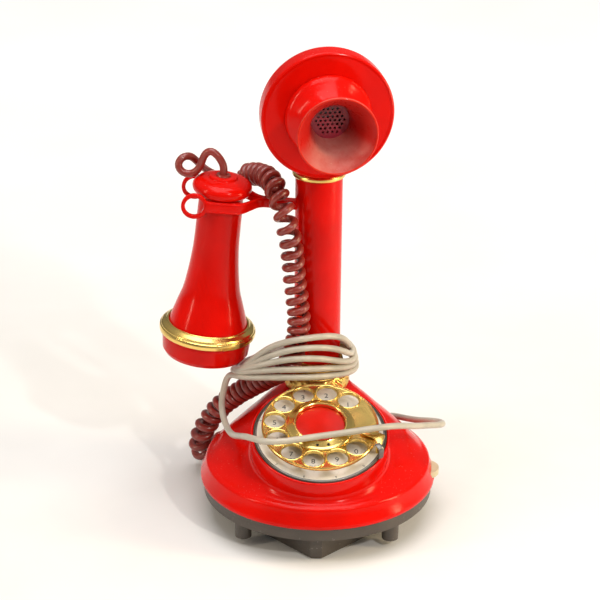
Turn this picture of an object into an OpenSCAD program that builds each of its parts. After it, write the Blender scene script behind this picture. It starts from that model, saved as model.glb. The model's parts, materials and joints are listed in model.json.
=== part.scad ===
// Candlestick desk telephone of the later reproduction kind: a bell-shaped base with a
// rotary dial, a stem set behind the dial, a transmitter head on top and a receiver
// hanging on a forked hook lever. Millimetres, +Z up, front towards -Y.
// The origin is on the table, under the middle of the round base.

/* [Base] */
// Radius of the lower rim of the housing
rim_r = 77.6; // [77.2:0.1:78.4]
// Radius of the ledge where the bell starts
ledge_r = 72; // [71.5:0.1:72.4]
// Height of the ballast pan under the base plate
foot_h = 18; // [17:0.5:18]
// Radius of the circle of the screw bosses
foot_circle = 67.5; // [67:0.5:67.5]
// Clearance of the screw bosses over the table
boss_gap = 5.5; // [4:0.5:6]
// Turn of the pan and its bosses about the middle, in degrees
base_turn = -2.5; // [-3:0.5:0]
// Wall of the moulded bell, measured downwards
shell_t = 2.2; // [2:0.1:2.6]

/* [Dial] */
// Tilt of the dial towards the user, in degrees
dial_tilt = 19; // [18:0.5:20]
// Radius of the finger wheel
wheel_r = 38; // [37.5:0.1:38]
// Radius of one finger hole
finger_r = 6.7; // [6.2:0.1:6.8]
// Radius of the circle that the finger holes lie on
finger_circle = 29.7; // [29.4:0.1:30]
// Number of finger holes
finger_n = 10; // [8:1:10]

/* [Stem] */
// Distance of the stem behind the middle of the base
stem_y = 34; // [34:0.1:34.3]
// Outer radius of the stem tube
stem_r = 15.4; // [15.2:0.1:15.5]
// Height of the top of the stem tube
stem_top = 229.6; // [229:0.1:230]

/* [Hook and receiver] */
// Height of the hook lever's pivot
hook_z = 204.6; // [204.5:0.1:205]
// Slope of the lever and lean of the receiver, in degrees
hook_rise = 5; // [4.5:0.1:5]
// Distance of the receiver's axis from the lever's pivot
recv_u = 63.5; // [63:0.1:63.6]

// How much further the receiver leans than the lever slopes, in degrees
recv_lean = 0.8; // [0.6:0.1:0.9]

/* [Head] */
// Radius of the transmitter head
head_r = 42.5; // [42:0.1:42.6]
// How far the head is turned to the right, in degrees
head_turn = 8; // [6:0.5:9]
// How far the head looks down at rest, in degrees
head_dip = 2; // [1:0.5:3]
// Height of the head's tilting pivot
pivot_z = 262.6; // [262:0.1:263]
// Height of the head's centre over its pivot
head_up = 15; // [14.8:0.1:15.2]

/* [Cords] */
// Outer radius of the coiled handset cord
coil_r = 8.4; // [7:0.1:8.4]
// Radius of the handset cord's own wire
wire_r = 2.5; // [2:0.05:2.5]
// Radius of the line cord
line_r = 2.1; // [2:0.05:2.1]

/* [Hidden] */
eps = 0.01;
run = 0.04;          // radial clearance of a running fit
pin_r = 1.98;
red = "#c8120a"; gold = "#d6a531"; black = "#2a2724"; steel = "#b9bcc0"; cream = "#ece6d2";
maroon = "#7a2a22"; grey = "#a39c8a"; brass = "#b8913b"; phenolic = "#4b2f1f"; green = "#2f6b3c";

band_top = foot_h + 8.5;
flange_top = 40.4;
bell_top = 76.5;
dial_at = [0, -33, 78.8];
gland_z = 24;
handset_gland_a = 120;
line_gland_a = 70;
gland_tip = 86;

// Bell profile: radius and height of each section. Its centre moves back as it narrows.
BELL = [[73.2, 39.4], [69.5, 42.5], [64.5, 46.5], [58.5, 51], [51.5, 56], [44, 61],
        [36.5, 66.5], [29, 71.5], [24, 75], [22.5, 76.5]];
function bell_y(r) = stem_y * (72 - r) / (72 - 22.5);

// Cord routes, along the middle of each cord.
LEAD = [[-61.7, 34, 226.7], [-61.5, 34, 232], [-65, 34, 239], [-70, 35, 242.6], [-74, 36, 239],
        [-76.5, 37, 231.5], [-81, 38, 226], [-87.5, 38.5, 226], [-91, 39.5, 231], [-88, 42, 235.5],
        [-83, 45, 235], [-79, 49, 230], [-75, 55, 223.5], [-69, 61, 217], [-61.5, 64.5, 213],
        [-54.8, 65.6, 212.2]];
COIL = [[-52.7, 65.2, 211.8], [-47, 63, 214.8], [-41, 55.2, 218.6], [-35.6, 45.6, 221.2],
        [-31.4, 35.8, 222], [-28.8, 28.4, 220.2], [-26.4, 22, 216], [-23.4, 15.8, 208.8], [-20.4, 12.8, 197],
        [-17.6, 13.5, 180], [-16, 14, 162], [-13, 10.5, 130], [-19, 9, 104], [-36, 24, 84], [-52, 35, 69],
        [-65, 41, 55], [-76, 46, 35], [-78, 57, 15], [-67, 75, 9], [-54, 88, 9]];
TAIL = [[-54, 88, 9], [-51, 94, 7], [-47, 97, 9], [-45.5, 94, 16], [-46, 87, 22], [-45, 79, 24],
        [-43, 74.5, 24]];
LOOP = [[-59, 22, 89], [-62, 20, 79], [-64, 18, 68], [-61, 8, 59], [-57, -8, 60], [-52, -26, 68],
        [-46, -43, 76], [-36, -54, 78.3], [-24, -54, 78.6], [-12, -52, 79.5], [0, -50, 80.3],
        [12, -48, 81], [24, -45.5, 81.6], [37, -43, 82.3], [49, -35, 79.5], [62, -21, 72],
        [75, -8, 66], [83, 0, 62], [84, 6, 60.5], [78, 13, 58.2], [68, 26, 52.2], [59, 40, 47],
        [53.5, 52.5, 42.2], [48, 64, 36], [43, 75, 29], [41, 83, 21], [42, 90, 12], [40, 101, 4],
        [34, 106, 3.5], [30, 99, 9], [31.4, 90, 20.8], [30.6, 84.6, 23.6], [29.43, 80.87, 24]];
DROP = [[8, 59, 95], [9, 63, 84], [10, 68, 71], [11, 74, 57], [12, 81, 42], [12, 88, 27],
        [13, 96, 14], [16, 105, 8], [18, 113, 6.4]];
floor_coil = [-4, 126];
// Stations of the bundle of wraps round the stem: x, y, lowest and highest turn.
WRAPS = [[24, 30, 91, 105], [19.5, 19, 94, 114], [12, 10, 96, 121], [2, 3.5, 97, 125.5],
         [-10, -1, 98, 126], [-22, -2.5, 98, 123], [-34, 1, 97, 116], [-46, 8, 94, 104],
         [-55, 15, 91, 94], [-59, 22, 90, 91.5], [-55, 30, 90, 92], [-45, 39, 90, 92],
         [-32, 48, 90, 94], [-17, 55, 91, 98], [0, 58.5, 92, 101], [14, 56, 93, 103],
         [23, 48, 93, 104], [26, 39, 92, 103]];

// ---- sweeping a round tube along a route ----
function unit(v) = v / norm(v);
function way(P, i) = unit(P[min(i + 1, len(P) - 1)] - P[max(i - 1, 0)]);
function side(P, i) = i == 0
  ? unit(cross(way(P, 0), abs(way(P, 0)[2]) < 0.9 ? [0, 0, 1] : [1, 0, 0]))
  : let (p = side(P, i - 1), t = way(P, i)) unit(p - t * (p * t));
module tube(P, r, n) {
  k = len(P);
  pts = [for (i = [0:k-1]) let (t = way(P, i), a = side(P, i), b = cross(t, a))
         for (j = [0:n-1]) P[i] + r * (cos(360*j/n) * a + sin(360*j/n) * b)];
  faces = concat(
    [[for (j = [0:n-1]) j]],
    [for (i = [0:k-2]) for (j = [0:n-1])
      [i*n + j, (i+1)*n + j, (i+1)*n + (j+1)%n]],
    [for (i = [0:k-2]) for (j = [0:n-1])
      [i*n + j, (i+1)*n + (j+1)%n, i*n + (j+1)%n]],
    [[for (j = [n-1:-1:0]) (k-1)*n + j]]);
  polyhedron(points = pts, faces = faces, convexity = 10);
}

// ---- frames of reference ----
module at_dial() translate(dial_at) rotate([dial_tilt, 0, 0]) children();
module at_stem() translate([0, stem_y, 0]) children();
module at_hook() translate([0, stem_y, hook_z]) rotate([0, hook_rise, 0]) children();
module at_recv() at_hook() translate([-recv_u, 0, 0.25]) rotate([0, recv_lean, 0]) children();
module at_head() translate([0, stem_y, pivot_z]) rotate([0, 0, head_turn]) rotate([head_dip, 0, 0]) children();
module head_axis() at_head() translate([0, 0, head_up]) rotate([90, 0, 0]) children();
module turned(P, fn = 96) rotate_extrude($fn = fn) polygon(P);
module each_foot() for (a = [45:90:315]) rotate([0, 0, a + base_turn]) translate([foot_circle, 0, 0]) children();

// ---- base ----
// Round sections joined into one skin; each section is a radius, a middle y and a height.
module lofted(L, n) {
  k = len(L);
  polyhedron(
    points = [for (l = L) for (j = [0:n-1]) [l[0] * cos(360*j/n), l[1] + l[0] * sin(360*j/n), l[2]]],
    faces = concat(
      [[for (j = [0:n-1]) j]],
      [for (i = [0:k-2]) for (j = [0:n-1]) [i*n + j, (i+1)*n + j, (i+1)*n + (j+1)%n, i*n + (j+1)%n]],
      [[for (j = [n-1:-1:0]) (k-1)*n + j]]),
    convexity = 6);
}
module bell(inset = 0, drop = 0)
  lofted([for (b = BELL) [b[0] - inset, bell_y(b[0]), b[1] - drop]], 72);
module flange() rotate_extrude($fn = 96)
  polygon([[0, band_top], [rim_r, band_top], [rim_r, band_top + 2.5], [ledge_r + 0.9, flange_top], [0, flange_top]]);
module flange_inside(low = 1) rotate_extrude($fn = 96)
  polygon([[0, band_top - low], [75, band_top - low], [75, band_top + 2.5], [71, flange_top - 1.8], [0, flange_top - 1.8]]);
module flange_middle() rotate_extrude($fn = 96)
  polygon([[0, band_top - 12], [76.1, band_top - 12], [76.1, band_top + 2.5], [71.9, flange_top - 0.7], [0, flange_top - 0.7]]);
module base_shell() color(red) difference() {
  union() {
    difference() {
      union() {
        flange();
        bell();
        at_dial() translate([0, 0, -40]) cylinder(r = 44.8, h = 32.8, $fn = 90);
      }
      flange_inside();
      bell(1.6, shell_t);
      at_dial() translate([0, 0, -60]) cylinder(r = 43.2, h = 60, $fn = 90);
    }
    // Shelf that the dial stands on
    at_dial() translate([0, 0, -12.6]) difference() {
      cylinder(r = 44, h = 2.5, $fn = 90);
      translate([0, 0, -1]) cylinder(r = 37, h = 5, $fn = 72);
    }
    // Screw posts
    intersection() {
      each_foot() hull() translate([0, 0, foot_h + 2.6]) cylinder(r = 4.5, h = 34, $fn = 24);
      union() { flange_middle(); bell(0.8, 0.9); }
    }
  }
  each_foot() hull() translate([0, 0, foot_h]) cylinder(r = 1.9, h = 17, $fn = 24);
  at_stem() translate([0, 0, bell_top]) cylinder(r = 22.3, h = 30, $fn = 72);
  at_stem() translate([0, 0, 60]) cylinder(r = 8, h = 30, $fn = 48);
  // Slot of the ringer volume wheel
  translate([60, -15.4, 28.7]) cube([25, 22.8, 4.6]);
  // Notches over the two cord glands
  for (a = [handset_gland_a, line_gland_a]) rotate([0, 0, a]) translate([70, 0, gland_z])
    hull() rotate([0, 90, 0]) cylinder(r = 4.7, h = 20, $fn = 32);
}
module base_plate() color(black) difference() {
  union() {
    turned([[0, foot_h], [75.5, foot_h], [75.5, band_top], [74.8, band_top], [74.8, band_top + 2],
            [72.8, band_top + 2], [72.8, foot_h + 2.5], [0, foot_h + 2.5]]);
    // Post that carries the ringer volume wheel
    translate([69.8, -4, foot_h + 1]) cylinder(r = 2.9, h = 9.8, $fn = 32);
    translate([69.8, -4, foot_h + 1]) cylinder(r = pin_r, h = 13.8, $fn = 32);
  }
  each_foot() translate([0, 0, foot_h - 1]) cylinder(r = 1.9, h = 5, $fn = 24);
  for (a = [handset_gland_a, line_gland_a]) rotate([0, 0, a]) translate([70, 0, gland_z])
    rotate([0, 90, 0]) cylinder(r = 3.45, h = 10, $fn = 32);
  // Sound slots under the ringer
  for (x = [-24:8:24]) translate([x - 1.2, 30, foot_h - 1]) cube([2.4, 22, 5]);
}
module pan_outline(d) rotate(base_turn) intersection() {
  rotate(45) square([2 * d, 2 * d], center = true);
  circle(r = d + 17.4, $fn = 96);
}
module weight_pan() color(black) difference() {
  union() {
    translate([0, 0, 1.2]) linear_extrude(foot_h - 1.2) pan_outline(50.6);
    linear_extrude(1.3) pan_outline(49.4);
  }
  translate([0, 0, 2.2]) linear_extrude(foot_h) pan_outline(48.4);
}
module ballast_slab() color("#4a4a4c") translate([0, 0, 2.2]) linear_extrude(10) pan_outline(45);
module screw_bosses() color(black) each_foot() difference() {
  translate([0, 0, boss_gap]) cylinder(r1 = 5.3, r2 = 5.8, h = foot_h - boss_gap, $fn = 48);
  translate([0, 0, 0]) cylinder(r = 1.9, h = foot_h + 2, $fn = 24);
  translate([0, 0, 0]) cylinder(r = 3.8, h = boss_gap + 5.2, $fn = 32);
}
module base_screws() color(steel) each_foot() difference() {
  union() {
    translate([0, 0, boss_gap + 5.2]) cylinder(r = 1.75, h = 24, $fn = 24);
    translate([0, 0, boss_gap + 3.2]) cylinder(r = 3.4, h = 2, $fn = 32);
  }
  translate([-0.4, -4, boss_gap + 3]) cube([0.8, 8, 1.2]);
}
module gland(a, bore) rotate([0, 0, a]) translate([0, 0, gland_z]) rotate([0, 90, 0]) difference() {
  turned([[0, 70.5], [3.4, 70.5], [3.4, 75.7], [4.2, 75.7], [4.2, 77.5], [3.6, gland_tip], [0, gland_tip]], 48);
  translate([0, 0, 60]) cylinder(r = bore, h = 40, $fn = 32);
}
module handset_gland() color(maroon) gland(handset_gland_a, wire_r + run);
module line_gland() color(grey) gland(line_gland_a, line_r + run);

// ---- stem ----
module stem_foot() color(steel) at_stem() difference() {
  union() {
    translate([0, 0, bell_top]) cylinder(r = 13.3, h = 20.5, $fn = 64);
    translate([0, 0, 58]) cylinder(r = 7.8, h = bell_top - 58 + 1, $fn = 48);
  }
  translate([0, 0, 50]) cylinder(r = 6, h = 60, $fn = 48);
}
module stem_washer() color(steel) at_stem() translate([0, 0, 71.6]) difference() {
  cylinder(r = 14, h = 2.6, $fn = 48);
  translate([0, 0, -1]) cylinder(r = 7.9, h = 5, $fn = 48);
}
module stem_nut() color(steel) at_stem() translate([0, 0, 64.5]) difference() {
  cylinder(r = 12.5, h = 7, $fn = 6);
  translate([0, 0, -1]) cylinder(r = 7.9, h = 9, $fn = 48);
}
module stem_collar() color(gold) at_stem()
  turned([[15.5, 76.5], [20.5, 76.5], [21.3, 79], [21.6, 83], [20.9, 86], [18.9, 89.5], [17.3, 92.4],
          [16.9, 94.3], [17.4, 95.8], [16.7, 97.5], [15.5, 97.5]]);
module stem_tube() color(red) at_stem() difference() {
  translate([0, 0, bell_top]) cylinder(r = stem_r, h = stem_top - bell_top, $fn = 96);
  translate([0, 0, bell_top - 1]) cylinder(r = 13.4, h = stem_top, $fn = 96);
  translate([-20, -5.2, hook_z - 4.2]) cube([14, 10.4, 12.6]);
}
module stem_top_ring() color(gold) at_stem()
  turned([[15.5, 226.8], [17.2, 226.8], [17.4, 227.6], [17.4, 228.8], [16.9, 229.6], [15.5, 229.6]]);
module head_bracket() color(red) translate([0, stem_y, 0]) rotate([0, 0, head_turn]) difference() {
  union() {
    translate([0, 0, 214.5]) cylinder(r = 13.3, h = stem_top - 214.5, $fn = 64);
    translate([0, 0, stem_top]) cylinder(r = 15.3, h = 2.4, $fn = 64);
    translate([-3.5, -4.2, stem_top + 1]) cube([7, 9.2, pivot_z - stem_top - 1]);
    translate([-3.5, 0, pivot_z]) rotate([0, 90, 0]) cylinder(r = 5, h = 7, $fn = 48);
  }
  translate([0, 0, pivot_z]) rotate([0, 90, 0]) cylinder(r = pin_r + run, h = 20, center = true, $fn = 32);
  translate([0, 0, 200]) cylinder(r = 2.5, h = 29, $fn = 24);
}
module hook_pin() color(steel) at_stem() translate([0, 0, hook_z]) rotate([90, 0, 0])
  cylinder(r = pin_r, h = 15, center = true, $fn = 32);
module hook_switch() color(phenolic) at_stem() difference() {
  union() {
    translate([0, 0, 172]) cylinder(r = 13.38, h = 3, $fn = 64);
    for (y = [-7, 5]) translate([-6, y, 174]) cube([12, 2, hook_z - 170]);
    translate([1, -5.5, 174]) cube([9, 11, 20]);
    for (x = [3, 6, 9]) translate([x, -3, 193]) cube([0.6, 6, 3.6]);
  }
  translate([0, 0, hook_z]) rotate([90, 0, 0]) cylinder(r = pin_r, h = 20, center = true, $fn = 32);
  translate([-8.5, 0, 170]) cylinder(r = 2.4, h = 8, $fn = 24);
}

// ---- dial ----
module dial_cup() color(steel) at_dial() difference() {
  union() {
    turned([[6.6, -8.6], [41, -8.6], [41, -10.05], [36, -10.05], [36, -32], [3.05, -32], [3.05, -30.2],
            [34.4, -30.2], [34.4, -10.05], [6.6, -10.05]]);
    // Bridge that holds the governor
    translate([15, -4, -13.2]) cube([19.6, 8, 1.6]);
    translate([30, -4, -30.4]) cube([2, 8, 17.6]);
  }
  translate([21, 0, -33]) cylinder(r = 1.55, h = 22, $fn = 24);
}
module number_plate() color(cream) at_dial()
  turned([[6.6, -8.55], [42, -8.55], [42, -7.3], [41.6, -7], [6.6, -7]]);
module dial_bezel() color(black) at_dial()
  turned([[42.1, -10.05], [43.1, -10.05], [43.1, -6.9], [42.7, -6.6], [42.1, -6.9]]);
module finger_stop() color(gold) at_dial() {
  translate([0, 0, 1]) linear_extrude(1.2)
    polygon([[25, -6.3], [26.2, -9.3], [34.4, -12.6], [34.6, -20.6], [38.4, -20.6], [41.4, -10.4], [38.4, -8.2]]);
  translate([36.3, -17, -7]) cylinder(r = 1.3, h = 8.5, $fn = 24);
}
module dial_bush() color(brass) at_dial()
  turned([[3.05, -13], [6.5, -13], [6.5, -7.4], [3.05, -7.4]], 48);
module finger_at(k) rotate([0, 0, 50 + 30 * k]) translate([finger_circle, 0, 0]) children();
module finger_wheel() color(gold) at_dial() difference() {
  turned([[0, -2], [wheel_r - 0.5, -2], [wheel_r, -1.5], [wheel_r, 0.1], [wheel_r - 0.9, 0.5], [wheel_r - 1.9, 0], [0, 0]]);
  for (k = [0:finger_n-1]) finger_at(k) translate([0, 0, -3]) cylinder(r = finger_r, h = 5, $fn = 48);
}
module dial_hub() color(gold) at_dial()
  turned([[15.9, 0.02], [22, 0.02], [21.8, 1], [17, 4], [15.9, 4]]);
module centre_card() color(red) at_dial() translate([0, 0, 0.02]) cylinder(r = 15.7, h = 1.1, $fn = 64);
module dial_shaft() color(steel) at_dial() {
  translate([0, 0, -33.5]) cylinder(r = 3, h = 31.5, $fn = 48);
  translate([0, 0, -4.6]) cylinder(r = 8, h = 2.6, $fn = 48);
}
module toothed(n, ro, ri, h, bore) difference() {
  linear_extrude(h) polygon([for (i = [0:4*n-1]) let (a = 360 * (i + 0.5) / (4 * n), r = i % 4 < 2 ? ro : ri) [r * cos(a), r * sin(a)]]);
  translate([0, 0, -1]) cylinder(r = bore, h = h + 2, $fn = 48);
}
module main_gear() color(brass) at_dial() translate([0, 0, -18]) toothed(32, 16.4, 14.9, 3, 3.02);
module spring_barrel() color(steel) at_dial()
  turned([[3.02, -29.5], [12, -29.5], [12, -21], [10.8, -21], [10.8, -28.2], [3.02, -28.2]], 64);
module governor() color(brass) at_dial() translate([21, 0, 0]) {
  translate([0, 0, -32.5]) cylinder(r = 1.5, h = 21, $fn = 32);
  translate([0, 0, -18.2]) toothed(8, 4.4, 3.4, 3.4, 1.5 - eps);
  translate([0, 0, -27.5]) cylinder(r = 6.5, h = 4.5, $fn = 48);
}

// ---- inside the base ----
module ringer_frame() color(steel) {
  translate([-16, 5, foot_h + 2.6]) cube([32, 14, 2]);
  for (s = [-1, 1]) translate([s * 16.2 - 1, 7, foot_h + 2.6]) cube([2, 10, 20]);
  translate([-17.2, 7, 40.6]) cube([34.4, 10, 1.6]);
  translate([0, 22.5, foot_h + 2.6]) cylinder(r = 1.45, h = 10.5, $fn = 24);
  translate([-2, 17, foot_h + 2.6]) cube([4, 5.5, 2]);
}
module ringer_coils() color("#7c4a20") for (s = [-1, 1]) translate([s * 8, 12, foot_h + 4.7]) {
  cylinder(r = 6.6, h = 15.6, $fn = 48);
}
module gongs() color(brass) for (s = [-1, 1]) translate([s * 21, 36, 0])
  turned([[2, 35], [9, 34.6], [14, 32.4], [17, 28.4], [17, 25], [16, 25], [16, 28], [13.3, 31.4], [8.8, 33.6], [2, 34]], 64);
module gong_posts() color(steel) for (s = [-1, 1]) translate([s * 21, 36, 0]) {
  translate([0, 0, foot_h + 2.5]) cylinder(r = 1.9, h = 14.6, $fn = 24);
  translate([0, 0, foot_h + 2.5]) cylinder(r = 4, h = 13.2, $fn = 32);
  translate([0, 0, 35.05]) cylinder(r = 3.2, h = 1.8, $fn = 32);
}
module clapper() color(steel) {
  translate([0, 22.5, 25.5]) difference() {
    cylinder(r = 3.4, h = 3, $fn = 32);
    translate([0, 0, -1]) cylinder(r = 1.5, h = 5, $fn = 32);
  }
  translate([-0.8, 25.5, 26.2]) cube([1.6, 9, 1.6]);
  translate([0, 36, 27]) sphere(r = 2.9, $fn = 32);
}
module network_board() color(green) {
  translate([-33, -62, 25]) cube([66, 36, 1.6]);
  for (x = [-29, 29], y = [-58, -30]) translate([x, y, foot_h + 2.5]) cylinder(r = 2.5, h = 4.5, $fn = 24);
}
module circuit_parts() color("#33445c") {
  translate([-26, -56, 26.6]) cube([15, 13, 8]);
  translate([4, -52, 30.6]) rotate([0, 90, 0]) cylinder(r = 4, h = 20, $fn = 32);
  for (x = [-4, 2, 8]) translate([x, -36, 28]) rotate([90, 0, 0]) cylinder(r = 1.4, h = 8, $fn = 24);
  translate([18, -40, 26.6]) cylinder(r = 4, h = 7, $fn = 32);
}
module terminal_block() color("#d9d2b8") difference() {
  translate([-58, -14, foot_h + 2.5]) cube([20, 12, 10]);
  for (x = [-55, -51, -47, -43]) translate([x + 0.8, -8, foot_h + 6]) cylinder(r = 1.4, h = 10, $fn = 24);
}
module volume_wheel() color("#cbb99a") translate([69.8, -4, 28.9]) difference() {
  cylinder(r = 10.6, h = 4, $fn = 72);
  translate([0, 0, -1]) cylinder(r = pin_r + run, h = 8, $fn = 32);
}

// ---- hook lever ----
module hook_lever() color(red) at_hook() difference() {
  union() {
    for (s = [-1, 1]) {
      translate([-recv_u - 17.3, s * 17, 0]) rotate([90, 0, 0]) cylinder(r = 8.5, h = 3, center = true, $fn = 64);
      translate([-recv_u - 14, s * 17 - 1.5, -3.75]) cube([26, 3, 7.5]);
      hull() {
        translate([-52.5, s * 17 - 1.5, -3.75]) cube([1, 3, 7.5]);
        translate([-38, s * 2 - 1.5, -3]) cube([1, 3, 6]);
      }
    }
    translate([-41, -3.5, -3]) cube([50, 7, 6]);
  }
  for (s = [-1, 1]) translate([-recv_u - 17.3, s * 17, 0]) rotate([90, 0, 0])
    cylinder(r = 6, h = 5, center = true, $fn = 48);
  rotate([90, 0, 0]) cylinder(r = pin_r + run, h = 20, center = true, $fn = 32);
}

// ---- transmitter head ----
module head_cup() color(red) {
  head_axis() turned([[0, 8], [26, 8], [34, 9.5], [39.5, 12], [42, 15], [head_r, 17], [head_r, 26.2],
    [40, 26.2], [40, 17.5], [38, 14.8], [33, 12.2], [26, 10.6], [0, 10.6]]);
  at_head() for (s = [-1, 1]) difference() {
    union() {
      translate([s > 0 ? 3.6 : -7, -9.4, -5]) cube([3.4, 9.4, 10]);
      translate([s > 0 ? 3.6 : -7, 0, 0]) rotate([0, 90, 0]) cylinder(r = 5, h = 3.4, $fn = 48);
    }
    rotate([0, 90, 0]) cylinder(r = pin_r + run, h = 30, center = true, $fn = 32);
  }
}
module head_face() color(red) head_axis()
  turned([[24.2, 26.25], [37.8, 26.25], [37.8, 23], [39.9, 23], [39.9, 26.25], [head_r, 26.25],
          [head_r, 27.6], [41.6, 28.6], [24.2, 28.6]]);
module mouthpiece_horn() color(red) head_axis()
  turned([[10.5, 21], [24.1, 21], [24.1, 28.65], [27.8, 28.65], [27.2, 30.5], [24, 33.5], [20, 37.5],
          [17.6, 42], [17, 46.5], [18, 51.5], [20.5, 56], [24, 59.6], [25.5, 61.3], [25.3, 62],
          [24.4, 62.1], [22.3, 59.8], [19.3, 56], [16.3, 51], [14.3, 45.5], [13, 40], [12.2, 35.6],
          [12.2, 33.4], [10.5, 33.4]]);
module mouthpiece_grille() color("#6d1f2a") head_axis() difference() {
  translate([0, 0, 33.45]) cylinder(r = 12.1, h = 1.6, $fn = 64);
  for (i = [-3:3], j = [-3:3]) let (x = 3 * (i + j / 2), y = 2.6 * j)
    if (norm([x, y]) < 9.2) translate([x, y, 33]) cylinder(r = 0.85, h = 3, $fn = 20);
}
module transmitter_capsule() color(steel) head_axis() {
  translate([0, 0, 12.4]) cylinder(r = 22, h = 8.4, $fn = 64);
  translate([0, 0, 10.7]) cylinder(r = 6, h = 2, $fn = 32);
}
module pivot_screw() color(gold) at_head() rotate([0, 90, 0]) {
  translate([0, 0, -11.5]) cylinder(r = pin_r, h = 19, $fn = 32);
  translate([0, 0, 7.05]) cylinder(r = 4.4, h = 3, $fn = 48);
}
module pivot_nut() color(gold) at_head() rotate([0, 90, 0]) translate([0, 0, -10.1]) difference() {
  cylinder(r = 4.6, h = 3, $fn = 6);
  translate([0, 0, -1]) cylinder(r = pin_r + run, h = 5, $fn = 32);
}

// ---- receiver ----
module receiver_shell() color(red) at_recv()
  turned([[14.3, 3.6], [14.6, -9.5], [14.8, -29.6], [15.4, -39], [16.7, -52], [18.9, -65], [21.8, -74],
          [24, -81.5], [25.8, -87.3], [26, -89], [26, -96], [24, -96], [23.8, -86.5], [22, -81],
          [19.8, -73.5], [16.9, -64.5], [14.7, -51.5], [13.4, -39], [12.8, -29.6], [12.6, -9.5], [12.6, 3.6]]);
module receiver_cap() color(red) at_recv()
  turned([[3.9, -4], [12.5, -4], [12.5, 3.8], [16.8, 3.8], [18.4, 5.2], [19.3, 7.2], [19.4, 8.6],
          [18.6, 10.6], [16, 12.6], [12.5, 13.9], [9.6, 14.4], [9.3, 15.4], [8.4, 15.9], [5, 15.6], [3.9, 15.6]]);
module receiver_bush() color("#2b1a18") at_recv()
  turned([[wire_r + run, 8], [3.85, 8], [3.85, 15.65], [4.8, 15.65], [4.4, 16.55], [wire_r + run, 16.55]], 48);
module receiver_ring() color(gold) at_recv()
  turned([[26.1, -95.55], [31.6, -95.55], [32, -93], [31.6, -90.6], [30.6, -89.7], [27.6, -87.6], [26.1, -87.4]]);
module ear_cap() color(red) at_recv() difference() {
  turned([[26.15, -95.65], [29.3, -95.65], [29.5, -98], [28.6, -107.5], [27, -110], [22.5, -110],
          [18.5, -108.4], [0, -106.4], [0, -103.5], [24.4, -103.5], [26.15, -101]]);
  translate([0, 0, -110]) cylinder(r = 1.3, h = 10, $fn = 24);
  for (a = [0:60:300]) rotate([0, 0, a]) translate([7, 0, -110]) cylinder(r = 1.3, h = 10, $fn = 24);
}
module receiver_capsule() color(steel) at_recv() {
  translate([0, 0, -103.3]) cylinder(r = 21.5, h = 9, $fn = 64);
  translate([0, 0, -94.4]) cylinder(r = 12, h = 6, $fn = 48);
}

// ---- cords ----
module handset_lead() color(maroon) tube(LEAD, wire_r, 8);
module handset_coil() color(maroon) tube(COIL, coil_r, 12);
module handset_tail() color(maroon) tube(TAIL, wire_r, 8);
module line_wraps() color(grey) for (i = [0:len(WRAPS)-1]) hull()
  for (w = [WRAPS[i], WRAPS[(i+1) % len(WRAPS)]], z = [w[2], w[3]])
    translate([w[0], w[1], z]) sphere(r = 2.2, $fn = 8);
module line_loop() color(grey) tube(LOOP, line_r, 8);
module line_drop() color(grey) tube(DROP, line_r, 8);
module line_coil() color(grey) translate(floor_coil) rotate_extrude($fn = 72)
  polygon([[23, 1], [24, 0], [26, 0], [27, 1], [27, 7.3], [26, 8.4], [24, 8.4], [23, 7.3]]);
module line_plug() color("#cfd6d8") translate(floor_coil) {
  translate([-5.8, -9, 0]) cube([11.6, 15, 6.6]);
  translate([-2, -11.5, 6.6]) cube([4, 12, 1]);
  translate([-2.6, 6, 0.6]) cube([5.2, 17.5, 4.2]);
}

base_shell();
base_plate();
weight_pan();
ballast_slab();
screw_bosses();
base_screws();
handset_gland();
line_gland();
stem_foot();
stem_washer();
stem_nut();
stem_collar();
stem_tube();
stem_top_ring();
head_bracket();
hook_pin();
hook_switch();
dial_cup();
number_plate();
dial_bezel();
finger_stop();
dial_bush();
ringer_frame();
ringer_coils();
gongs();
gong_posts();
network_board();
circuit_parts();
terminal_block();
finger_wheel();
dial_hub();
centre_card();
dial_shaft();
main_gear();
spring_barrel();
governor();
clapper();
volume_wheel();
hook_lever();
head_cup();
head_face();
mouthpiece_horn();
mouthpiece_grille();
transmitter_capsule();
pivot_screw();
pivot_nut();
receiver_shell();
receiver_cap();
receiver_bush();
receiver_ring();
ear_cap();
receiver_capsule();
handset_lead();
handset_coil();
handset_tail();
line_wraps();
line_loop();
line_drop();
line_coil();
line_plug();
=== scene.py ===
import json
import math
import bpy
import bmesh
import numpy as np
from mathutils import Matrix, Vector


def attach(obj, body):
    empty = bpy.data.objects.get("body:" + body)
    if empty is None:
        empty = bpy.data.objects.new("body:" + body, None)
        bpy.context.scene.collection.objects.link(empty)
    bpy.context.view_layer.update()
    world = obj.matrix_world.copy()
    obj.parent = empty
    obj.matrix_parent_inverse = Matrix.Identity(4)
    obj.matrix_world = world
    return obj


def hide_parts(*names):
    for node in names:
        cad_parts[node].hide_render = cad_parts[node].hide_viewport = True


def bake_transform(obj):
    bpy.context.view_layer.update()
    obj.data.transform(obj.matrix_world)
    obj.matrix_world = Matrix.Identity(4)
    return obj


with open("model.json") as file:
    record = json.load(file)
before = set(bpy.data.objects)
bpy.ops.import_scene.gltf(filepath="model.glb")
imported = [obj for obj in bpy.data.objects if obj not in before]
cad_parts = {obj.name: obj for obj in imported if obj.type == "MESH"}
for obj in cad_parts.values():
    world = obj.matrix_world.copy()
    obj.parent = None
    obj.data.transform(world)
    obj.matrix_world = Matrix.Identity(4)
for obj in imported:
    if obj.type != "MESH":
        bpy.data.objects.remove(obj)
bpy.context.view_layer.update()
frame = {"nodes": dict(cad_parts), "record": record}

NODES = frame["nodes"]
MM = 0.001
rng = np.random.default_rng(7)

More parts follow.
